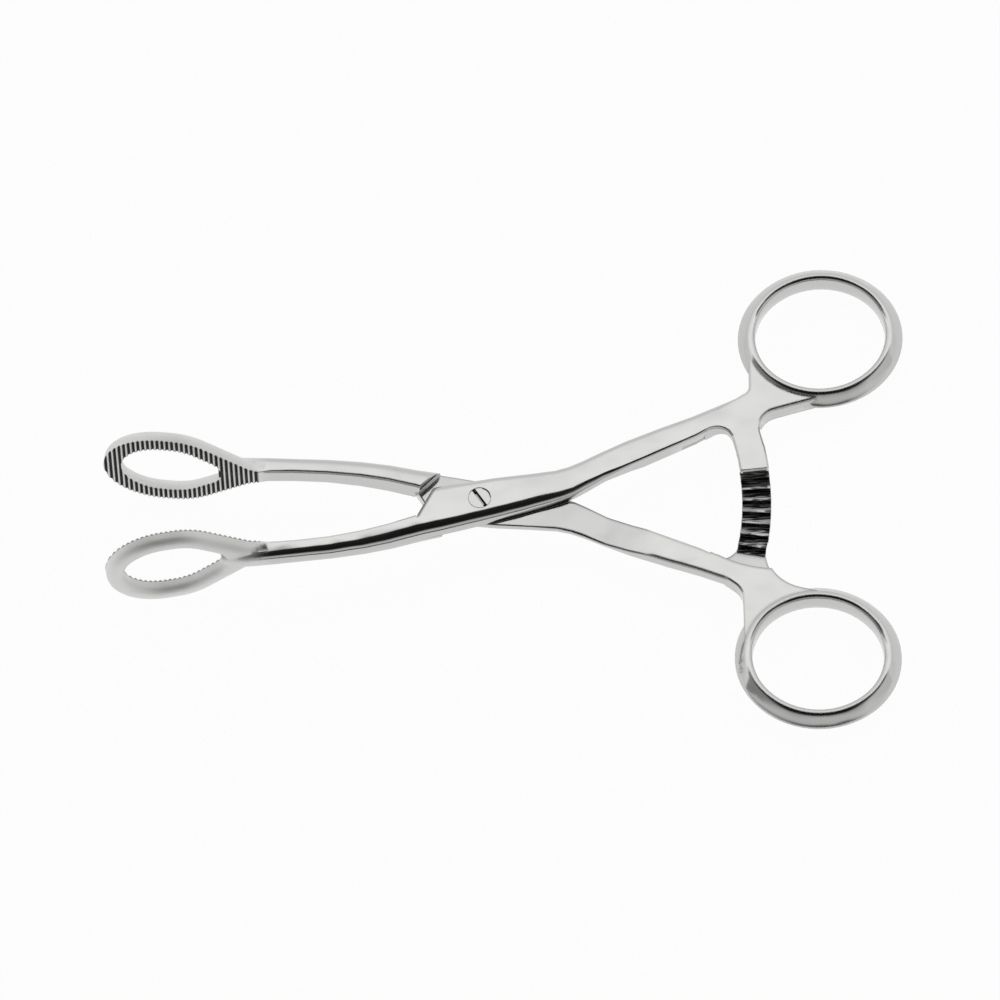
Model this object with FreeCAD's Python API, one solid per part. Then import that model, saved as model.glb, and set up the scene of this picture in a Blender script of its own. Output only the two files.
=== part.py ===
import FreeCAD, Part
import math
import os
from FreeCAD import Vector

# Tongue forceps: two forged halves that cross at a lap joint, held by one slotted screw.
# The hinge axis is Z. The jaws point to -X and the finger rings to +X. The lap plane is z = 0.
# Each half is drawn in the closed pose as the over half, with its ring on +Y, then turned into place.
# All sizes are in millimetres and degrees.

# How far the halves are turned apart from the closed pose
rest_opening = 17.5

# From the hinge axis to the front shank's root inside the jaw's neck, and to the rear shank's end
front_reach = 56.0
rear_reach = 60.0

# Lap joint
boss_thickness = 5.4
joint_front = 14.0
lap_gap = 0.04
shoulder_reach = 13.75
shoulder_angle = 52.0
shoulder_gap = 0.97
wing_corner = 3.0
lap_end = 27.6
ramp_length = 10.5

# Shanks
shank_thickness = 4.0
flat_edge_cut = 0.4
outer_edge_round = 1.6

# Jaws
jaw_tip = front_reach + 24.6
jaw_tip_gap = 0.1
jaw_splay = 1.2
jaw_length = 36.0
jaw_half_width = 12.5
jaw_bow = 14.3
jaw_taper = 37.6
jaw_thickness = 3.2
jaw_back_round = 1.6
jaw_heel_round = 6.0
neck_half_height = 2.15
neck_slope_length = 3.8
neck_slope_depth = 1.3
window_half_width = 8.75
window_heel_round = 5.3
serration_pitch = 1.035
serration_depth = 0.45
serration_end = 34.2

# Finger rings
over_ring_reach = rear_reach + 18.5
under_ring_reach = rear_reach + 15.4
over_ring_offset = 25.4
under_ring_offset = 28.7
ring_length = 35.2
ring_width = 33.6
ring_band = 3.7
ring_thickness = 5.0

# Web between shank, ratchet and ring
web_start = rear_reach - 10
web_inset = 2.0
over_notch = 15.0
under_notch = 15.2
over_notch_round = 2.0
under_notch_round = 4.5

# Ratchet
ratchet_radius = rear_reach - 1.3
ratchet_width = 6.2
tooth_pitch = 2.77
tooth_depth = 0.85
tooth_land = 0.12
crest_gap = 0.03
over_arm_reach = 4.3
under_bar_reach = 15.5
over_teeth = 3
under_teeth = 8
arm_root_round = 3.5
over_arm_round = 4.5
under_arm_round = 9.5
arm_tip_round = 0.8
relief_side = 0.7
over_relief_run = 3.2
over_relief_reach = 22.0
under_relief_reach = 9.5
under_relief_radius = 26.0

# Pivot screw
head_diameter = 4.7
head_depth = 1.3
head_rim = 0.35
pin_diameter = 3.2
thread_diameter = 3.0
pin_clearance = 0.05
slot_width = 0.75
slot_depth = 0.8
slot_angle = -58.0

round_steps = 3
room = 40.0


def along(front, joint, rear):
    """Line of (distance along X, size) points, given ahead and behind as shares of the two reaches."""
    ahead = [(-share * front_reach, size) for share, size in front]
    behind = [(share * rear_reach, size) for share, size in rear]
    return ahead + joint + behind


# Edge lines of a half in the closed pose
near_line = along(
    [(1, -3.4), (0.893, -5.2), (0.786, -5.6), (0.679, -6.2), (0.554, -6.7), (0.393, -6.8), (0.286, -6.25)],
    [(-8, -5.8), (8, -4.5)],
    [(0.3, -3.2), (0.367, -1.9), (0.467, 0.5), (0.583, 2.7), (0.8, 6.25), (0.9, 8.6), (1, 11.0)],
)
inner_front_line = along(
    [(1, -0.9), (0.893, -1.05), (0.821, -1.3), (0.679, -2.2), (0.536, -2.55), (0.393, -2.3)],
    [(-joint_front, -1.3), (-8, -0.2), (-4, 0.5)],
    [],
)
far_rear_line = along(
    [],
    [(-joint_front, 4.9), (5, 4.7), (12, 4.25)],
    [(0.317, 4.3), (0.483, 7.25), (0.6, 9.2), (0.8, 11.6), (1, 14.7)],
)

# Thickness and roundings along a half
thickness_line = along(
    [(1, 3.7), (0.821, 4.3), (0.643, 4.4)],
    [(-joint_front, boss_thickness), (8, boss_thickness)],
    [(0.567, shank_thickness), (1, shank_thickness)],
)
near_round_line = along(
    [(1, 1.3), (0.821, 1.8), (0.643, 2.05)],
    [(-joint_front, 2.5), (10, 2.4)],
    [(0.367, 1.6), (0.567, 0.6), (1, 0.4)],
)

# Where the sections of the shanks stand
front_stations = [-share * front_reach for share in (1, 0.911, 0.821, 0.714, 0.589, 0.464, 0.357)]
front_stations += [-joint_front, -9, -4]
rear_stations = [-joint_front, -5, 4, 12]
rear_stations += [share * rear_reach for share in (0.283, 0.333, 0.383, 0.45, 0.55, 0.683, 0.8, 0.9, 1)]

# Rims of the finger ring from its flat to its side, as (distance in from the side, distance down)
ring_outer_rim = [(2.2, 0), (2.0, 0.16), (0.35, 1.85), (0, ring_thickness / 2)]
ring_inner_rim = [(0.55, 0), (0.2, 0.27), (0, 0.95)]


def smooth(points, x):
    """Height at x of a smooth curve through the points."""
    slopes = []
    for i in range(len(points)):
        before = points[max(i - 1, 0)]
        after = points[min(i + 1, len(points) - 1)]
        slopes.append((after[1] - before[1]) / (after[0] - before[0]))
    for i in range(len(points) - 1):
        (x0, y0), (x1, y1) = points[i], points[i + 1]
        if x <= x1 or i == len(points) - 2:
            span = x1 - x0
            t = (x - x0) / span
            rise = t * t * (3 - 2 * t)
            leave = t * (1 - t) ** 2 * span * slopes[i]
            arrive = t * t * (t - 1) * span * slopes[i + 1]
            return y0 + (y1 - y0) * rise + leave + arrive


def eased(points, x):
    """Height at x of a curve that is level at each of the points."""
    for (x0, y0), (x1, y1) in zip(points, points[1:]):
        if x <= x1:
            t = (x - x0) / (x1 - x0)
            return y0 + (y1 - y0) * t * t * (3 - 2 * t)


def corner_section(x, near, far, rounds):
    """Rectangle across X with worked corners: near top, far top, far bottom, near bottom.

    A corner is an arc of the given radius, or a straight cut where that radius is 0.
    """
    half = eased(thickness_line, x) / 2
    corners = [(near, half, 1, -1), (far, half, -1, -1), (far, -half, -1, 1), (near, -half, 1, 1)]
    edges = []
    for (y, z, toward_y, toward_z), r in zip(corners, rounds):
        size = r or flat_edge_cut
        side = Vector(x, y, z + toward_z * size)
        top = Vector(x, y + toward_y * size, z)
        centre = Vector(x, y + toward_y * size, z + toward_z * size)
        middle = centre + (Vector(x, y, z) - centre).normalize() * size
        start, end = (side, top) if toward_y * toward_z < 0 else (top, side)
        if edges:
            edges.append(Part.makeLine(edges[-1].Vertexes[-1].Point, start))
        edges.append(Part.Arc(start, middle, end).toShape() if r else Part.makeLine(start, end))
    edges.append(Part.makeLine(edges[-1].Vertexes[-1].Point, edges[0].Vertexes[0].Point))
    return Part.Wire(edges)


def as_plane(face):
    """The face as a true plane where it is flat and still a ruled surface."""
    if not face.findPlane() or isinstance(face.Surface, Part.Plane):
        return face
    corners = [vertex.Point for vertex in face.OuterWire.OrderedVertexes]
    return Part.Face(Part.makePolygon(corners + corners[:1]))


def shank(wires):
    """Ruled solid through the sections, with each of its flat sides as a true plane."""
    shell = Part.Shell([as_plane(face) for face in Part.makeLoft(wires, True, True).Faces])
    shell.sewShape()
    return Part.Solid(shell)


def slab(from_x, to_x, low, high):
    """Box across the whole width, between two places along X and two heights."""
    box = Part.makeBox(to_x - from_x, 2 * room, high - low)
    box.translate(Vector(from_x, -room, low))
    return box


def front_shank():
    """Shank from the jaw to the joint, rolled round on its outer side and flat on its inner side.

    In the joint it runs on below the lap plane, as a foot that the other half's wing closes on.
    """
    wires = []
    for x in front_stations:
        roll = eased(near_round_line, x)
        rounds = (roll, 0, 0, roll)
        wires.append(corner_section(x, smooth(near_line, x), smooth(inner_front_line, x), rounds))
    lap = slab(-joint_front, 0, lap_gap / 2, boss_thickness)
    return shank(wires).cut([front_foot(), lap])


def rear_shank():
    """Boss of the joint and the shank behind it, over the full thickness."""
    wires = []
    for x in rear_stations:
        rounds = (eased(near_round_line, x), outer_edge_round, 0, 0)
        wires.append(corner_section(x, smooth(near_line, x), smooth(far_rear_line, x), rounds))
    return shank(wires).cut([lap_cut(), wing_room()])


def rounded_path(points, rounds):
    """Edges of an open polyline in the XY plane whose inner corners are arcs of the given radii."""
    edges = []
    last = Vector(*points[0], 0)
    for i in range(1, len(points) - 1):
        corner = Vector(*points[i], 0)
        to_last = (Vector(*points[i - 1], 0) - corner).normalize()
        to_next = (Vector(*points[i + 1], 0) - corner).normalize()
        half_turn = to_last.getAngle(to_next) / 2
        r = rounds[i - 1]
        start = corner + to_last * (r / math.tan(half_turn))
        end = corner + to_next * (r / math.tan(half_turn))
        centre = corner + (to_last + to_next).normalize() * (r / math.sin(half_turn))
        edges.append(Part.makeLine(last, start))
        edges.append(Part.Arc(start, centre + (corner - centre).normalize() * r, end).toShape())
        last = end
    edges.append(Part.makeLine(last, Vector(*points[-1], 0)))
    return edges


def block(edges, low, high):
    """Straight-sided block over edges in the XY plane, between two heights."""
    face = Part.Face(Part.Wire(Part.__sortEdges__(edges)))
    solid = face.extrude(Vector(0, 0, high - low))
    solid.translate(Vector(0, 0, low))
    return solid


def shoulder_point(offset, along):
    """Point on the slanted shoulder line, moved back by offset."""
    angle = math.radians(shoulder_angle)
    start = -shoulder_reach + offset / math.sin(angle)
    return (start + along * math.cos(angle), along * math.sin(angle))


def wing_room():
    """What the other half's front takes from the wing at the front of the rear shank."""
    edge = far_rear_line[0][1]
    corner = shoulder_point(shoulder_gap, edge / math.sin(math.radians(shoulder_angle)))
    low_end = shoulder_point(shoulder_gap, -room)
    path = rounded_path([low_end, corner, (0, edge)], [wing_corner])
    outside = [(0, edge), (0, room), (-2 * room, room), (-2 * room, low_end[1]), low_end]
    edges = [Part.makeLine(Vector(*a, 0), Vector(*b, 0)) for a, b in zip(outside, outside[1:])]
    return block(path + edges, -boss_thickness, boss_thickness)


def front_foot():
    """Room behind the shoulder below the lap plane, where the front shank stops."""
    a = shoulder_point(0, -room)
    b = shoulder_point(0, room)
    mirrored = [(a[0], -a[1]), (b[0], -b[1]), (b[0] + 2 * room, -b[1]), (a[0] + 2 * room, -a[1])]
    corners = mirrored + mirrored[:1]
    edges = [Part.makeLine(Vector(*p, 0), Vector(*q, 0)) for p, q in zip(corners, corners[1:])]
    return block(edges, -boss_thickness, lap_gap / 2)


def lap_cut():
    """Room below the lap plane of the over half, with the ramp back to full thickness behind it."""
    outline = [
        Vector(-room, -room, -boss_thickness),
        Vector(-room, -room, lap_gap / 2),
        Vector(lap_end, -room, lap_gap / 2),
        Vector(lap_end + ramp_length, -room, -shank_thickness / 2),
        Vector(lap_end + ramp_length, -room, -boss_thickness),
    ]
    face = Part.Face(Part.makePolygon(outline + outline[:1]))
    return face.extrude(Vector(0, 2 * room, 0))


def arc(centre_x, centre_y, r, start, end):
    """Arc in the XY plane between two angles in degrees."""
    points = []
    for angle in (start, (start + end) / 2, end):
        a = math.radians(angle)
        points.append(Vector(centre_x + r * math.cos(a), centre_y + r * math.sin(a), 0))
    return Part.Arc(*points).toShape()


def round_rim(r):
    """Steps of a quarter round, as (distance in from the side, distance down)."""
    turns = [math.radians(90 * i / round_steps) for i in range(round_steps + 1)]
    return [(r * (1 - math.sin(turn)), r * (1 - math.cos(turn))) for turn in turns]


def rolled(outline, low, high, low_rim, high_rim, outward):
    """Solid over outline(grow) between two heights, with worked rims. outward is 1 for a hole."""
    levels = [(low + down, inset) for inset, down in low_rim]
    levels += [(high - down, inset) for inset, down in reversed(high_rim)]
    wires = []
    for z, inset in levels:
        if wires and z - wires[-1].BoundBox.ZMax < 0.001:
            continue
        wire = Part.Wire(Part.__sortEdges__(outline(outward * inset)))
        wire.translate(Vector(0, 0, z))
        wires.append(wire)
    return Part.makeLoft(wires, True, True)


def oval(reach, offset, grow):
    """Oval of four arcs, the outline of the finger ring, grown all round."""
    long_half = ring_length / 2
    short_half = ring_width / 2
    shift = (long_half - short_half) / (2 - math.sqrt(2))
    end_round = long_half - shift + grow
    side_round = short_half + shift + grow
    return [
        arc(reach + shift, offset, end_round, -45, 45),
        arc(reach, offset - shift, side_round, 45, 135),
        arc(reach - shift, offset, end_round, 135, 225),
        arc(reach, offset + shift, side_round, 225, 315),
    ]


def finger_ring(reach, offset):
    """Finger ring, bevelled outside and rolled inside, so that its crest runs close to the hole."""
    top = ring_thickness / 2
    outside = rolled(lambda grow: oval(reach, offset, grow), -top, top, ring_outer_rim, ring_outer_rim, -1)
    inside = rolled(
        lambda grow: oval(reach, offset, grow - ring_band), -top, top, ring_inner_rim, ring_inner_rim, 1
    )
    return outside.cut(inside)


def arm_sides():
    """Inner and outer radius of the ratchet about the pivot."""
    return ratchet_radius - ratchet_width / 2, ratchet_radius + ratchet_width / 2


def on_arc(radius, y):
    """Point at height y on a circle about the pivot."""
    return (math.sqrt(radius ** 2 - y ** 2), y)


def web(reach, offset, notch, notch_round, arm_round):
    """Flat web where shank, ratchet arm and finger ring meet, with the root of the arm."""
    inside, outside = arm_sides()
    bottom = offset - ring_width / 2
    left = reach - ring_length / 2
    near = smooth(near_line, web_start)
    far = smooth(far_rear_line, web_start) - outer_edge_round
    root = smooth(near_line, inside) - flat_edge_cut
    points = [
        (reach, bottom + web_inset),
        on_arc(outside, bottom + 0.2),
        on_arc(outside, 0.5),
        on_arc(inside, 0.5),
        (inside - 0.4, root),
        (web_start, near),
        (web_start, far),
        (left + 0.1, notch),
        (left + web_inset, offset),
    ]
    edges = rounded_path(points[0:3], [arm_round])
    edges.append(Part.makeLine(Vector(*points[2], 0), Vector(*points[3], 0)))
    edges += rounded_path(points[3:6], [arm_root_round])
    edges.append(Part.makeLine(Vector(*points[5], 0), Vector(*points[6], 0)))
    edges += rounded_path(points[6:9], [notch_round])
    edges.append(Part.makeLine(Vector(*points[8], 0), Vector(reach, offset, 0)))
    edges.append(Part.makeLine(Vector(reach, offset, 0), Vector(*points[0], 0)))
    plate = block(edges, -shank_thickness / 2, shank_thickness / 2)
    hole = block(oval(reach, offset, -web_inset), -shank_thickness, shank_thickness)
    return plate.cut(hole)


def swept(profile, from_y, to_y):
    """Solid that (radius, height) points sweep about the pivot, from one height along Y to another."""
    start = math.degrees(math.asin(from_y / ratchet_radius))
    end = math.degrees(math.asin(to_y / ratchet_radius))
    face = Part.Face(Part.makePolygon([Vector(r, 0, z) for r, z in profile + profile[:1]]))
    face.rotate(Vector(0, 0, 0), Vector(0, 0, 1), start)
    return face.revolve(Vector(0, 0, 0), Vector(0, 0, 1), end - start)


def is_upright(edge):
    a, b = edge.Vertexes[0].Point, edge.Vertexes[-1].Point
    return abs(a.z - b.z) > 0.5 and abs(a.x - b.x) + abs(a.y - b.y) < 0.01


def lies_at(edge, z):
    return abs(edge.BoundBox.ZMin - z) < 0.001 and abs(edge.BoundBox.ZMax - z) < 0.001


def ratchet_bar(reach):
    """Bar of the ratchet, curved about the pivot, on the upper side of the lap plane."""
    inside, outside = arm_sides()
    low, high = lap_gap / 2, shank_thickness / 2
    bar = swept([(inside, low), (outside, low), (outside, high), (inside, high)], -reach, 1.5)
    corners = [edge for edge in bar.Edges if is_upright(edge) and edge.Vertexes[0].Y < 1 - reach]
    return bar.makeFillet(arm_tip_round, corners)


def tooth_notches(reach, count):
    """Notches of a saw-tooth rack on the underside of the bar, one pitch apart about the pivot."""
    inside, outside = arm_sides()
    step = math.degrees(tooth_pitch / ratchet_radius)
    first = -math.degrees(math.asin(reach / ratchet_radius))
    low = lap_gap / 2 - 0.5
    crest = lap_gap / 2 + crest_gap
    root = lap_gap / 2 + tooth_depth
    profile = [
        (0, low),
        (0, root),
        (tooth_pitch * tooth_land, root),
        (tooth_pitch * (1 - tooth_land), crest),
        (tooth_pitch, crest),
        (tooth_pitch, low),
    ]
    notches = []
    for i in range(count):
        corners = [Vector(inside - 1, y, z) for y, z in profile]
        face = Part.Face(Part.makePolygon(corners + corners[:1]))
        notch = face.extrude(Vector(outside - inside + 2, 0, 0))
        notch.rotate(Vector(0, 0, 0), Vector(0, 0, 1), first + i * step)
        notches.append(notch)
    return notches


def handle(reach, offset, notch, notch_round, arm_round, bar_reach):
    """Web with the bar of the ratchet, and the finger ring, of one half."""
    plate = web(reach, offset, notch, notch_round, arm_round).fuse(ratchet_bar(bar_reach)).removeSplitter()
    rims = []
    for edge in plate.Edges:
        on_top = lies_at(edge, shank_thickness / 2)
        if on_top and edge.BoundBox.XMax > web_start + 0.1 and edge.BoundBox.XMax < reach - 1:
            rims.append(edge)
    return [plate.makeChamfer(flat_edge_cut, rims), finger_ring(reach, offset)]


def over_relief():
    """Room below the over half's lap plane that the under half's long bar passes through.

    Towards the shank it runs out over a slope.
    """
    inside, outside = arm_sides()
    high = lap_gap / 2
    low = high - ring_thickness
    run_out = over_relief_run * ring_thickness / (high + shank_thickness / 2)
    start = inside - relief_side
    end = outside + relief_side
    profile = [(start - run_out, low), (end, low), (end, high), (start, high)]
    return swept(profile, -over_arm_reach - 1, over_relief_reach)


def under_relief():
    """Round step that a cutter leaves below the under half's lap plane, for the over half's arm."""
    inside, outside = arm_sides()
    middle = Vector(outside, under_relief_reach - under_relief_radius, -ring_thickness)
    return Part.makeCylinder(under_relief_radius, ring_thickness + lap_gap / 2, middle)


def jaw_outline(grow):
    """Outline of the jaw, tip at the origin and heel along +X, grown all round."""
    wide = jaw_half_width + grow
    neck = neck_half_height + grow
    heel_round = jaw_heel_round - grow
    normal = 90 - jaw_taper
    across, up = math.cos(math.radians(normal)), math.sin(math.radians(normal))
    heel_x = jaw_bow + (wide + heel_round - (neck + heel_round) * up) / across
    heel_y = neck + heel_round
    edges = [arc(jaw_half_width, 0, wide, 90, 270)]
    for side in (1, -1):
        flank_start = Vector(jaw_bow + wide * across, side * wide * up, 0)
        flank_end = Vector(heel_x - heel_round * across, side * (heel_y - heel_round * up), 0)
        edges.append(Part.makeLine(Vector(jaw_half_width, side * wide, 0), Vector(jaw_bow, side * wide, 0)))
        edges.append(arc(jaw_bow, 0, wide, side * 90, side * normal))
        edges.append(Part.makeLine(flank_start, flank_end))
        edges.append(arc(heel_x, side * heel_y, heel_round, side * (normal - 180), side * -90))
        edges.append(Part.makeLine(Vector(heel_x, side * neck, 0), Vector(jaw_length, side * neck, 0)))
    edges.append(Part.makeLine(Vector(jaw_length, neck, 0), Vector(jaw_length, -neck, 0)))
    return edges


def window_outline(grow):
    """Outline of the jaw's window, grown all round."""
    wide = window_half_width + grow
    heel = window_heel_round + grow
    normal = 90 - jaw_taper
    across, up = math.cos(math.radians(normal)), math.sin(math.radians(normal))
    heel_x = jaw_bow + (wide - heel) / across
    edges = [arc(jaw_half_width, 0, wide, 90, 270), arc(heel_x, 0, heel, -normal, normal)]
    for side in (1, -1):
        flank_start = Vector(jaw_bow + wide * across, side * wide * up, 0)
        flank_end = Vector(heel_x + heel * across, side * heel * up, 0)
        edges.append(Part.makeLine(Vector(jaw_half_width, side * wide, 0), Vector(jaw_bow, side * wide, 0)))
        edges.append(arc(jaw_bow, 0, wide, side * 90, side * normal))
        edges.append(Part.makeLine(flank_start, flank_end))
    return edges


def serrations():
    """Saw-tooth comb that cuts the grooves across the jaw's face."""
    wide = jaw_half_width + 1
    points = [(-1, -1), (-1, 0)]
    for i in range(int(serration_end / serration_pitch)):
        points.append((i * serration_pitch, 0))
        points.append(((i + 0.5) * serration_pitch, serration_depth))
    end = int(serration_end / serration_pitch) * serration_pitch
    points += [(end, 0), (end, -1), (-1, -1)]
    face = Part.Face(Part.makePolygon([Vector(x, -wide, z) for x, z in points]))
    return face.extrude(Vector(0, 2 * wide, 0))


def neck_slope():
    """Wedge that lets the serrated face run out into the shank's inner side."""
    start = jaw_length - neck_slope_length
    end = jaw_length + 1
    points = [(start, -1), (start, 0), (end, neck_slope_depth), (end, -1), (start, -1)]
    face = Part.Face(Part.makePolygon([Vector(x, -jaw_half_width, z) for x, z in points]))
    return face.extrude(Vector(0, 2 * jaw_half_width, 0))


def jaw():
    """Oval serrated jaw of the over half: the serrated face looks to +Y, the back is rounded."""
    sharp_rim = [(0, 0)]
    back_rim = round_rim(jaw_back_round)
    plate = rolled(jaw_outline, 0, jaw_thickness, sharp_rim, back_rim, -1)
    window = rolled(window_outline, -1, jaw_thickness, sharp_rim, back_rim, 1)
    plate = plate.cut([window, serrations(), neck_slope()])
    plate.rotate(Vector(0, 0, 0), Vector(1, 0, 0), 90)
    plate.rotate(Vector(0, 0, 0), Vector(0, 0, 1), -jaw_splay)
    plate.translate(Vector(-jaw_tip, -jaw_tip_gap, 0))
    return plate


def screw_space(grow):
    """Solid of the screw's head and smooth pin above the lap plane, grown all round by a clearance."""
    top = boss_thickness / 2
    head = head_diameter / 2 + grow
    pin = pin_diameter / 2 + grow
    outline = [
        Vector(0, 0, 0),
        Vector(pin, 0, 0),
        Vector(pin, 0, top - head_depth),
        Vector(head, 0, top - head_rim),
        Vector(head, 0, top),
        Vector(0, 0, top),
    ]
    face = Part.Face(Part.makePolygon(outline + outline[:1]))
    return face.revolve(Vector(0, 0, 0), Vector(0, 0, 1), 360)


def pivot_screw():
    """Slotted countersunk screw: head and pin in the over half, thread in the under half."""
    depth = boss_thickness / 2
    thread = Part.makeCylinder(thread_diameter / 2, depth, Vector(0, 0, -depth))
    screw = screw_space(0).fuse(thread).removeSplitter()
    slot = Part.makeBox(head_diameter * 2, slot_width, slot_depth * 2)
    slot.translate(Vector(-head_diameter, -slot_width / 2, boss_thickness / 2 - slot_depth))
    slot.rotate(Vector(0, 0, 0), Vector(0, 0, 1), slot_angle)
    return screw.cut(slot)


def half(handle_pieces, cuts):
    """One forged half, drawn closed as the over half, without its screw hole."""
    forging = front_shank().multiFuse([rear_shank(), jaw()] + handle_pieces)
    return forging.removeSplitter().cut(cuts)


def export(shape, name):
    shape.exportStep("parts/" + name + ".step")
    print(name, "valid", shape.isValid(), "solids", len(shape.Solids), "volume", round(shape.Volume, 1))


os.makedirs("parts", exist_ok=True)
axis = Vector(0, 0, 1)
origin = Vector(0, 0, 0)

over = half(
    handle(over_ring_reach, over_ring_offset, over_notch, over_notch_round, over_arm_round, over_arm_reach),
    [over_relief()] + tooth_notches(over_arm_reach, over_teeth),
)
over = over.cut(screw_space(pin_clearance))
over.rotate(origin, axis, rest_opening / 2)

under = half(
    handle(
        under_ring_reach, under_ring_offset, under_notch, under_notch_round, under_arm_round, under_bar_reach
    ),
    [under_relief()] + tooth_notches(under_bar_reach, under_teeth),
)
under.rotate(origin, Vector(1, 0, 0), 180)
thread_hole = Part.makeCylinder(thread_diameter / 2, boss_thickness, Vector(0, 0, -boss_thickness))
under = under.cut(thread_hole)
under.rotate(origin, axis, -rest_opening / 2)

export(over, "over_half")
export(under, "under_half")
export(pivot_screw(), "pivot_screw")
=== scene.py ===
import math

import bpy
from mathutils import Matrix, Vector

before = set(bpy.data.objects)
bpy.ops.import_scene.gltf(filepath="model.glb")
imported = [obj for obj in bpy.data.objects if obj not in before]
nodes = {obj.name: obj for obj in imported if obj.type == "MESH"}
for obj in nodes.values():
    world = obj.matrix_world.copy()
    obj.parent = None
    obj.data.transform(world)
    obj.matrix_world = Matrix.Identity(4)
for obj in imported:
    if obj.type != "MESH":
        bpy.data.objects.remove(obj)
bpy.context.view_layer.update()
print("frame loaded:", sorted(nodes))

# The two halves mirror each other in the plane of the joint, and these signs tell them apart
under, over = -1, 1
restTurn = math.radians(8.75)    # how far each half is turned from the closed pose, at rest
quarterTurn = math.pi / 2
origin = (0.0, 0.0, 0.0)

# Smooth shading over the joined faces of each solid, with its worked edges kept crisp
shading = {"joinWithin": 0.000002, "crispFrom": math.radians(43)}

# Martensitic stainless steel, ground and mirror polished on a soft wheel.
# The eye sees a cool grey mirror with fine wheel marks, a satin grain in the jaws,
# which are only blasted, and painted shade in the grooves, the slot and the joint's corner.
# A noise has its scale per metre, its detail and its roughness.
steel = {
    "colour": "#c3c3c2",
    "satinColour": "#e8e8e6",
    "paintedShadeColour": "#1c1c1d",
    "milledLitColour": "#eeeeec",
    "lapShadeColour": "#b9b9b8",
    "polishedRoughness": 0.12,
    "screwRoughness": 0.16,
    "satinRoughness": 0.62,
    "grooveRoughness": 0.5,
    "clouds": (90, 3.0, 0.5),    # the polish is a little uneven, over about 11 mm
    "cloudRange": (0.3, 0.7),
    "cloudShift": (-0.03, 0.04),
    "jawsEnd": -0.0475,          # the satin finish runs from the tips to here along X
    "jawsBlend": 0.004,
    "stretch": 0.12,             # wheel marks and streaks run along X
    "wheelMarks": (1600, 2.0, 0.6),    # 0.6 mm apart across the polish
    "grain": (5200, 1.0, 0.5),   # blasted grain of about 0.2 mm
    "polishedRelief": 0.05,
    "satinRelief": 0.30,
    "reliefDepth": 0.00002,
    "waves": (140, 1.0, 0.4),    # hand polishing leaves the flats a little wavy, over about 7 mm
    "waveDepth": 0.00028,
    "softEdge": 0.00025,         # the wheel rounds every edge by about a quarter of a millimetre
    "screwEdge": 0.00008,
    "edgeSamples": 8,
}

# Where the wheel rounded the edges more: from X, to X, and what it adds to the radius
softRuns = {
    under: ((-0.047, -0.040, 0.00035), (0.010, 0.018, 0.00035)),
    over: ((0.050, 0.058, 0.00055),),
}

# The grooves across the jaws get painted shade. The tip is given in the closed pose.
jaw = {
    "tip": (-0.0806, -0.0001),
    "splay": math.radians(1.2),
    "depths": (0.00008, 0.00024, 0.00047, 0.00050),    # from the face: unshaded, dark, dark, unshaded again
    "end": (0.0332, 0.0330),           # from the tip: unshaded from the first on, dark up to the second
    "facing": (0.2, 0.4),              # how squarely a dark surface faces the other jaw
    "rimShare": {under: 0.0, over: 0.55},    # how dark the other surfaces beside the grooves are
}

# The ratchet's teeth get painted shade, broken by random streaks and patches where it is lighter.
rack = {
    "band": (0.05567, 0.05568, 0.06172, 0.06173),      # from the hinge axis
    "behind": (0.0, 0.001),                            # along X, so that the jaws stay clear of it
    "run": (-0.0152, -0.0151, 0.0068, 0.0069),         # along the teeth, from the middle line
    "roots": (0.00006, 0.00030, 0.00092, 0.00094),     # from the lap plane
    "crests": (-0.0001, 0.0, 0.00092, 0.00094),
    "crestEnd": (0.0052, 0.0053),
    "streaks": (2200, 1.0, 0.5),
    "streakRange": (0.48, 0.60),
    "streakShade": 0.45,
    "patches": (900, 1.0, 0.5),
    "patchStretch": 0.4,
    "patchRange": (0.46, 0.54),
    "patchShade": 0.85,
}

# The lap joint at rest. The under half's milled shoulder gets painted light, the lap faces get painted shade,
# and a painted shadow line runs along the over half's corner.
joint = {
    "shoulderTurn": math.radians(43.25),
    "shoulderPoint": (-0.01359, 0.00209, 0.0),
    "shoulderWall": (-0.00006, -0.00004, 0.00004, 0.00006),
    "shoulderDepths": (-0.0001, 0.0, 0.0012, 0.0015),
    "shoulderFacing": (0.484, -0.515, 0.707),    # the wall is shaded as though it faced upwards, so that it catches the light from above
    "lapShadeDepths": (-0.0003, -0.0002, 0.0002, 0.0018),
    "lapShadeFacing": (0.9, 0.98),     # how squarely a shaded lap face lies in the plane of the joint
    "cornerX": (-0.0136, -0.0130, -0.0090, -0.0082),
    "cornerY": (-0.0046, -0.0042),
    "cornerZ": (0.0, 0.001),
    "cornerLine": 0.0012,
    "cornerTurn": (0.995, 0.965),    # how alike the true and the softened surface face, off it and on it
    "cornerSamples": 6,
}

# Painted shade in the screw's slot and a painted shadow on part of its rim, as distances from the slot's
# middle line and the centre
slot = {
    "turn": math.radians(-58),
    "sides": (0.00042, 0.00036),
    "floor": (0.00026, 0.00018),
    "floorEnd": (0.0016, 0.0015),
    "floorShine": 0.75,
    "rim": (0.00214, 0.00222),
    "rimTurn": math.radians(38),
    "rimReach": (0.00175, 0.00190),
}

# The table the forceps lies on. It touches both jaws' lower edges and the rings' undersides.
table = {
    "colour": "#fafafa",
    "jawFoot": (-0.0647, -0.01251),    # X and Z where the jaws rest on it
    "ringFoot": (0.0891, -0.00252),    # X and Z where the rings rest on it
    "halfSize": 3.0,
    "glow": 0.96,
}

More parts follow.
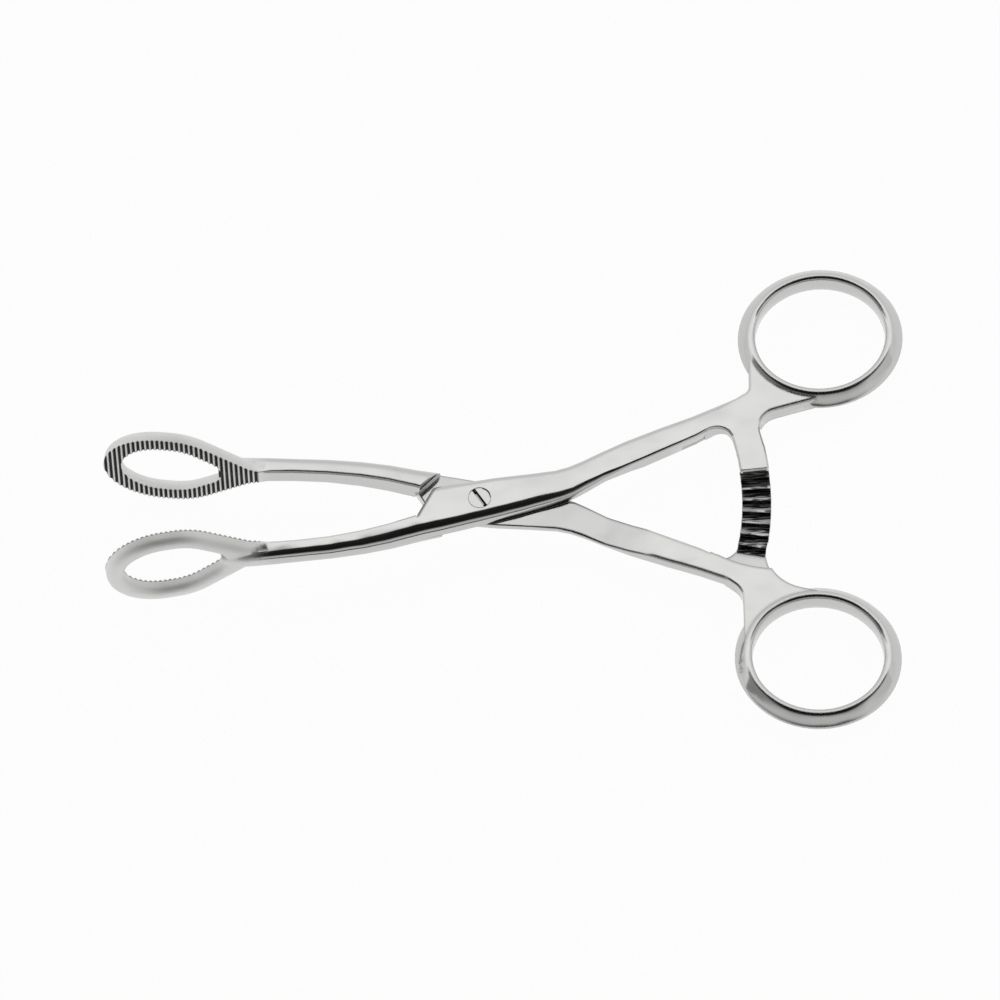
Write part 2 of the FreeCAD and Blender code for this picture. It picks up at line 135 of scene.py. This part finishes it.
# The studio round the table, as bands of light and dark from behind, over the top and down to the front.
# Each band is the tilt from straight up in degrees, positive towards the viewer, and the light there.
studio = {
    "bands": (
        (-180, 1.0), (-92, 1.0), (-84, 0.9), (-56, 0.95), (-40, 1.08), (-24, 1.42), (-18, 0.02), (46, 0.01),
        (54, 0.40), (62, 0.75), (74, 0.70), (80, 0.12), (92, 0.12), (100, 0.75), (180, 0.75)),
    "brightest": 2.0,                # the ramp's white stands for this light
    "sideLight": 0.9,
    "right": (0.45, 0.75, 0.85),     # how far to the right it begins and is full, and its share there
    "left": (-0.45, -0.75, 0.35),
}

# The photograph's viewpoint
view = {
    "elevation": 61.6,
    "azimuth": 0.25,
    "roll": -2.25,
    "scale": 4717.0,          # pixels per metre at the pivot
    "distance": 2.9,
    "pixels": 1000.0,         # the picture's width and height
    "pivotPixel": (479.8, 503.85),
    "nearest": 0.01,
    "farthest": 20.0,
}


def toLinear(hexColour):
    # sRGB hex to the linear values that the shaders work in
    channels = []
    for i in (1, 3, 5):
        c = int(hexColour[i:i + 2], 16) / 255
        channels.append(c / 12.92 if c <= 0.04045 else ((c + 0.055) / 1.055) ** 2.4)
    return (*channels, 1.0)


def addNode(tree, kind, settings=None, inputs=None):
    # one node with its settings; an input is a value, or an output socket to link from
    node = tree.nodes.new(kind)
    for name, value in (settings or {}).items():
        setattr(node, name, value)
    for name, value in (inputs or {}).items():
        if isinstance(value, bpy.types.NodeSocket):
            tree.links.new(value, node.inputs[name])
        else:
            node.inputs[name].default_value = value
    return node


def newMaterial(name):
    material = bpy.data.materials.new(name)
    material.use_nodes = True
    material.node_tree.nodes.clear()
    return material, material.node_tree


def maths(tree, operation, *values):
    return addNode(tree, "ShaderNodeMath", {"operation": operation}, dict(enumerate(values))).outputs[0]


def product(tree, first, *others):
    for other in others:
        first = maths(tree, "MULTIPLY", first, other)
    return first


def mapRange(tree, value, low, high, toLow=0.0, toHigh=1.0, blend="LINEAR"):
    return addNode(tree, "ShaderNodeMapRange", {"clamp": True, "interpolation_type": blend}, {
        "Value": value, "From Min": low, "From Max": high, "To Min": toLow, "To Max": toHigh}).outputs[0]


def between(tree, value, limits):
    # rises from 0 to 1 over the first two limits and falls back over the last two
    rise = mapRange(tree, value, *limits[:2])
    return product(tree, rise, mapRange(tree, value, *limits[2:], 1.0, 0.0))


def mixValue(tree, share, first, second):
    return addNode(tree, "ShaderNodeMix", {"data_type": "FLOAT"}, {0: share, 2: first, 3: second}).outputs[0]


def mixVector(tree, share, first, second):
    return addNode(tree, "ShaderNodeMix", {"data_type": "VECTOR"}, {0: share, 4: first, 5: second}).outputs[1]


def mixColour(tree, share, first, second):
    return addNode(tree, "ShaderNodeMix", {"data_type": "RGBA"}, {0: share, 6: first, 7: second}).outputs[2]


def noise(tree, place, scale, detail, roughness):
    return addNode(tree, "ShaderNodeTexNoise", inputs={
        "Vector": place, "Scale": scale, "Detail": detail, "Roughness": roughness}).outputs["Fac"]


def stretchedAlongX(tree, place, share):
    return addNode(tree, "ShaderNodeMapping", inputs={0: place, "Scale": (share, 1.0, 1.0)}).outputs[0]


def vectorMaths(tree, operation, *vectors):
    return addNode(tree, "ShaderNodeVectorMath", {"operation": operation}, dict(enumerate(vectors)))


def heading(angle, side=over):
    # a direction in the plane of the joint, mirrored for the under half
    return (math.cos(angle), side * math.sin(angle), 0.0)


def reach(tree, place, direction, start=origin):
    # how far a place lies from the start point along a direction
    dot = vectorMaths(tree, "DOT_PRODUCT", place, direction).outputs["Value"]
    return maths(tree, "SUBTRACT", dot, sum(a * b for a, b in zip(direction, start)))


def softened(tree, radius, samples):
    # the surface's direction with its edges rounded off
    return addNode(tree, "ShaderNodeBevel", {"samples": samples}, {"Radius": radius}).outputs[0]


def fromHinge(tree, place):
    flat = vectorMaths(tree, "MULTIPLY", place, (1.0, 1.0, 0.0)).outputs[0]
    return vectorMaths(tree, "LENGTH", flat).outputs["Value"]


def shadingTree():
    tree = bpy.data.node_groups.new("SteelShading", "GeometryNodeTree")
    tree.interface.new_socket("Geometry", in_out="INPUT", socket_type="NodeSocketGeometry")
    tree.interface.new_socket("Geometry", in_out="OUTPUT", socket_type="NodeSocketGeometry")
    entry = addNode(tree, "NodeGroupInput")
    bare = addNode(tree, "GeometryNodeRemoveAttribute", inputs={
        "Geometry": entry.outputs[0], "Name": "custom_normal"})
    joined = addNode(tree, "GeometryNodeMergeByDistance", inputs={
        "Geometry": bare.outputs[0], "Distance": shading["joinWithin"]})
    angle = addNode(tree, "GeometryNodeInputMeshEdgeAngle")
    soft = addNode(tree, "FunctionNodeCompare", {"data_type": "FLOAT", "operation": "LESS_THAN"}, {
        0: angle.outputs["Unsigned Angle"], 1: shading["crispFrom"]})
    faces = addNode(tree, "GeometryNodeSetShadeSmooth", {"domain": "FACE"}, {
        "Geometry": joined.outputs[0], "Shade Smooth": True})
    edges = addNode(tree, "GeometryNodeSetShadeSmooth", {"domain": "EDGE"}, {
        "Geometry": faces.outputs[0], "Shade Smooth": soft.outputs[0]})
    addNode(tree, "NodeGroupOutput", inputs={0: edges.outputs[0]})
    return tree


# painted shade in the jaws' grooves
def jawShadeMask(tree, place, facing, side):
    tipX, tipY = jaw["tip"]
    tipTurn = math.atan2(tipY, tipX) + restTurn
    tip = [math.hypot(tipX, tipY) * share for share in heading(tipTurn, side)]
    line = restTurn - jaw["splay"]
    depth = reach(tree, place, heading(line - quarterTurn, side), tip)
    along = reach(tree, place, heading(line, side), tip)
    squarely = reach(tree, facing, heading(line + quarterTurn, side))
    return product(
        tree, between(tree, depth, jaw["depths"]), mapRange(tree, along, *jaw["end"]),
        mapRange(tree, squarely, *jaw["facing"], jaw["rimShare"][side], 1.0))


def rackMask(tree, place, axes, across):
    # the stretch of the arm that carries the teeth
    return product(
        tree, between(tree, fromHinge(tree, place), rack["band"]), mapRange(tree, axes["X"], *rack["behind"]),
        between(tree, across, rack["run"]))


# painted shade on the ratchet's teeth, lighter in random streaks and patches
def teethShadeMask(tree, place, stretched, across, side):
    depth = reach(tree, place, (0.0, 0.0, side))
    patches = noise(tree, stretchedAlongX(tree, place, rack["patchStretch"]), *rack["patches"])
    crests = product(
        tree, mapRange(tree, patches, *rack["patchRange"], rack["patchShade"], 0.0),
        between(tree, depth, rack["crests"]), mapRange(tree, across, *rack["crestEnd"], 1.0, 0.0))
    teeth = maths(tree, "MAXIMUM", between(tree, depth, rack["roots"]), crests)
    streaks = noise(tree, stretched, *rack["streaks"])
    return product(tree, teeth, mapRange(tree, streaks, *rack["streakRange"], 1.0, rack["streakShade"]))


# painted shade in the slot, partly lifted on its floor, and a painted shadow on part of the rim
def slotShadeMask(tree, place):
    across = maths(tree, "ABSOLUTE", reach(tree, place, heading(slot["turn"] + quarterTurn)))
    along = maths(tree, "ABSOLUTE", reach(tree, place, heading(slot["turn"])))
    floor = product(
        tree, mapRange(tree, across, *slot["floor"]),
        mapRange(tree, along, *slot["floorEnd"], 0.0, slot["floorShine"]))
    inside = product(tree, mapRange(tree, across, *slot["sides"]), maths(tree, "SUBTRACT", 1.0, floor))
    rim = product(
        tree, mapRange(tree, fromHinge(tree, place), *slot["rim"]),
        mapRange(tree, reach(tree, place, heading(slot["rimTurn"])), *slot["rimReach"]))
    return maths(tree, "MAXIMUM", inside, rim)


def shoulderMask(tree, place, axes):
    off = reach(tree, place, heading(joint["shoulderTurn"] - quarterTurn), joint["shoulderPoint"])
    return product(
        tree, between(tree, off, joint["shoulderWall"]), between(tree, axes["Z"], joint["shoulderDepths"]))


def cornerShadeMask(tree, axes):
    # a painted shadow line along the over half's corner: the worked edge itself is where the softened surface
    # turns away from the true one
    trueNormal = addNode(tree, "ShaderNodeNewGeometry").outputs["Normal"]
    soft = softened(tree, joint["cornerLine"], joint["cornerSamples"])
    likeness = vectorMaths(tree, "DOT_PRODUCT", trueNormal, soft).outputs["Value"]
    return product(
        tree, mapRange(tree, likeness, *joint["cornerTurn"]), between(tree, axes["X"], joint["cornerX"]),
        mapRange(tree, axes["Y"], *joint["cornerY"]), mapRange(tree, axes["Z"], *joint["cornerZ"]))


def lapShadeMask(tree, place, facing, side):
    # painted shade on the lap faces, fading out as the ramps behind them rise
    level = between(tree, reach(tree, place, (0.0, 0.0, -side)), joint["lapShadeDepths"])
    upright = maths(tree, "ABSOLUTE", reach(tree, facing, (0.0, 0.0, 1.0)))
    return product(tree, level, mapRange(tree, upright, *joint["lapShadeFacing"]))


def edgeRadius(tree, axes, side, rackZone):
    radius = steel["softEdge"]
    for start, end, more in softRuns[side]:
        radius = maths(tree, "ADD", radius, mapRange(tree, axes["X"], start, end, 0.0, more))
    return mixValue(tree, rackZone, radius, steel["softEdge"])


def addRelief(tree, normal, place, stretched, satin):
    # slow waves from hand polishing, and over them wheel marks or blasted grain
    waves = noise(tree, place, *steel["waves"])
    wavy = addNode(tree, "ShaderNodeBump", inputs={
        "Height": waves, "Distance": steel["waveDepth"], "Normal": normal}).outputs[0]
    marks = noise(tree, stretched, *steel["wheelMarks"])
    height = mixValue(tree, satin, marks, noise(tree, place, *steel["grain"]))
    strength = mapRange(tree, satin, 0.0, 1.0, steel["polishedRelief"], steel["satinRelief"])
    return addNode(tree, "ShaderNodeBump", inputs={
        "Height": height, "Strength": strength, "Distance": steel["reliefDepth"], "Normal": wavy}).outputs[0]


def makeSteel(name, side=0, polish=steel["polishedRoughness"]):
    # the finish of one half, or of the screw where side is 0
    material, tree = newMaterial(name)
    surface = addNode(tree, "ShaderNodeTexCoord").outputs
    place, facing = surface["Object"], surface["Normal"]
    axes = addNode(tree, "ShaderNodeSeparateXYZ", inputs={0: place}).outputs
    stretched = stretchedAlongX(tree, place, steel["stretch"])
    satin = mapRange(
        tree, axes["X"], steel["jawsEnd"] + steel["jawsBlend"], steel["jawsEnd"] - steel["jawsBlend"],
        blend="SMOOTHSTEP")

    colour = mixColour(tree, satin, toLinear(steel["colour"]), toLinear(steel["satinColour"]))
    clouds = mapRange(
        tree, noise(tree, place, *steel["clouds"]), *steel["cloudRange"], *steel["cloudShift"])
    roughness = maths(tree, "ADD", mapRange(tree, satin, 0.0, 1.0, polish, steel["satinRoughness"]), clouds)
    if side:
        # painted shade: the lap faces are coloured darker
        lapShade = lapShadeMask(tree, place, facing, side)
        colour = mixColour(tree, lapShade, colour, toLinear(steel["lapShadeColour"]))
        across = reach(tree, place, heading(restTurn + quarterTurn, side))
        rackZone = rackMask(tree, place, axes, across)
        teeth = product(tree, rackZone, teethShadeMask(tree, place, stretched, across, side))
        paintedShade = maths(tree, "MAXIMUM", jawShadeMask(tree, place, facing, side), teeth)
        radius = edgeRadius(tree, axes, side, rackZone)
    else:
        paintedShade = slotShadeMask(tree, place)
        radius = steel["screwEdge"]
    normal = softened(tree, radius, steel["edgeSamples"])
    # painted shadow line along the over half's corner
    if side == over:
        paintedShade = maths(tree, "MAXIMUM", paintedShade, cornerShadeMask(tree, axes))
    if side == under:
        # painted light: the milled shoulder wall is satin, coloured lighter and shaded as though it faced
        # upwards, so that it shows lit
        milledLit = shoulderMask(tree, place, axes)
        colour = mixColour(tree, milledLit, colour, toLinear(steel["milledLitColour"]))
        roughness = mixValue(tree, milledLit, roughness, steel["satinRoughness"])
        normal = mixVector(tree, milledLit, normal, joint["shoulderFacing"])

    # painted shade: the jaws' grooves, the ratchet's teeth, the screw's slot and rim and the over half's
    # corner are coloured near black
    colour = mixColour(tree, paintedShade, colour, toLinear(steel["paintedShadeColour"]))
    roughness = mixValue(tree, paintedShade, roughness, steel["grooveRoughness"])
    shader = addNode(tree, "ShaderNodeBsdfPrincipled", inputs={
        "Base Color": colour, "Metallic": 1.0, "Roughness": roughness,
        "Normal": addRelief(tree, normal, place, stretched, satin)})
    addNode(tree, "ShaderNodeOutputMaterial", inputs={0: shader.outputs[0]})
    return material


def makeTable():
    (x0, z0), (x1, z1) = table["jawFoot"], table["ringFoot"]
    slope = (z1 - z0) / (x1 - x0)
    half = table["halfSize"]
    square = ((-half, -half), (half, -half), (half, half), (-half, half))
    corners = [(x, y, z0 + slope * (x - x0)) for x, y in square]
    mesh = bpy.data.meshes.new("table")
    mesh.from_pydata(corners, [], [(0, 1, 2, 3)])
    top = bpy.data.objects.new("table", mesh)
    bpy.context.scene.collection.objects.link(top)
    material, tree = newMaterial("whiteTable")
    path = addNode(tree, "ShaderNodeLightPath").outputs
    mirrored = maths(tree, "MAXIMUM", path["Is Glossy Ray"], path["Is Transmission Ray"])
    seen = maths(tree, "MAXIMUM", path["Is Camera Ray"], mirrored)
    matt = addNode(tree, "ShaderNodeBsdfDiffuse", inputs={"Color": toLinear(table["colour"])})
    white = addNode(tree, "ShaderNodeEmission", inputs={"Color": (1, 1, 1, 1), "Strength": 1.0})
    mixed = addNode(tree, "ShaderNodeMixShader", inputs={
        0: product(tree, seen, table["glow"]), 1: matt.outputs[0], 2: white.outputs[0]})
    addNode(tree, "ShaderNodeOutputMaterial", inputs={0: mixed.outputs[0]})
    mesh.materials.append(material)


def makeStudio():
    world = bpy.data.worlds.new("studio")
    bpy.context.scene.world = world
    world.use_nodes = True
    tree = world.node_tree
    tree.nodes.clear()
    direction = addNode(tree, "ShaderNodeTexCoord").outputs["Generated"]
    axes = addNode(tree, "ShaderNodeSeparateXYZ", inputs={0: direction}).outputs
    tilt = maths(tree, "ARCTAN2", maths(tree, "MULTIPLY", axes["Y"], -1.0), axes["Z"])
    ramp = addNode(tree, "ShaderNodeValToRGB", inputs={0: mapRange(tree, tilt, -math.pi, math.pi)})
    elements = ramp.color_ramp.elements
    bands, brightest = studio["bands"], studio["brightest"]
    while len(elements) < len(bands):
        elements.new(0.5)
    for i in range(len(bands)):
        elements[i].position = (bands[i][0] + 180) / 360
    # the ramp keeps its elements in order of place, so their light is set once they are all there
    for i in range(len(bands)):
        level = bands[i][1] / brightest
        elements[i].color = (level, level, level, 1)
    right, left = (
        mapRange(tree, axes["X"], start, full, 0.0, share)
        for start, full, share in (studio["right"], studio["left"]))
    level = studio["sideLight"] / brightest
    lit = mixColour(tree, maths(tree, "ADD", right, left), ramp.outputs[0], (level, level, level, 1))
    background = addNode(tree, "ShaderNodeBackground", inputs={"Color": lit, "Strength": brightest})
    addNode(tree, "ShaderNodeOutputWorld", inputs={0: background.outputs[0]})


def makeCamera():
    elevation, azimuth, roll = (math.radians(view[k]) for k in ("elevation", "azimuth", "roll"))
    level = math.cos(elevation)
    back = Vector((math.sin(azimuth) * level, -math.cos(azimuth) * level, math.sin(elevation)))
    right = Vector((math.cos(azimuth), math.sin(azimuth), 0))
    up = back.cross(right)
    turnedRight = math.cos(roll) * right + math.sin(roll) * up
    turnedUp = -math.sin(roll) * right + math.cos(roll) * up
    middle = view["pixels"] / 2
    offset = (middle - view["pivotPixel"][0]) * turnedRight - (middle - view["pivotPixel"][1]) * turnedUp
    place = back * view["distance"] + offset / view["scale"]
    camera = bpy.data.cameras.new("camera")
    camera.lens = camera.sensor_width * view["scale"] * view["distance"] / view["pixels"]
    camera.clip_start = view["nearest"]
    camera.clip_end = view["farthest"]
    holder = bpy.data.objects.new("camera", camera)
    rotation = Matrix((turnedRight, turnedUp, back)).transposed()
    holder.matrix_world = Matrix.Translation(place) @ rotation.to_4x4()
    bpy.context.scene.collection.objects.link(holder)
    bpy.context.scene.camera = holder


steelShading = shadingTree()
finishes = {
    "under_half": makeSteel("polishedStainlessUnder", under),
    "over_half": makeSteel("polishedStainlessOver", over),
    "pivot_screw": makeSteel("turnedStainlessScrew", polish=steel["screwRoughness"]),
}
for name, material in finishes.items():
    node = nodes[name]
    node.data.materials.clear()
    node.data.materials.append(material)
    modifier = node.modifiers.new("SteelShading", "NODES")
    modifier.node_group = steelShading
print("steel finishes on", len(finishes), "pieces")

makeTable()
print("table laid")

makeStudio()
print("studio lit")

makeCamera()
bpy.context.scene.view_settings.view_transform = "Standard"
print("camera placed")
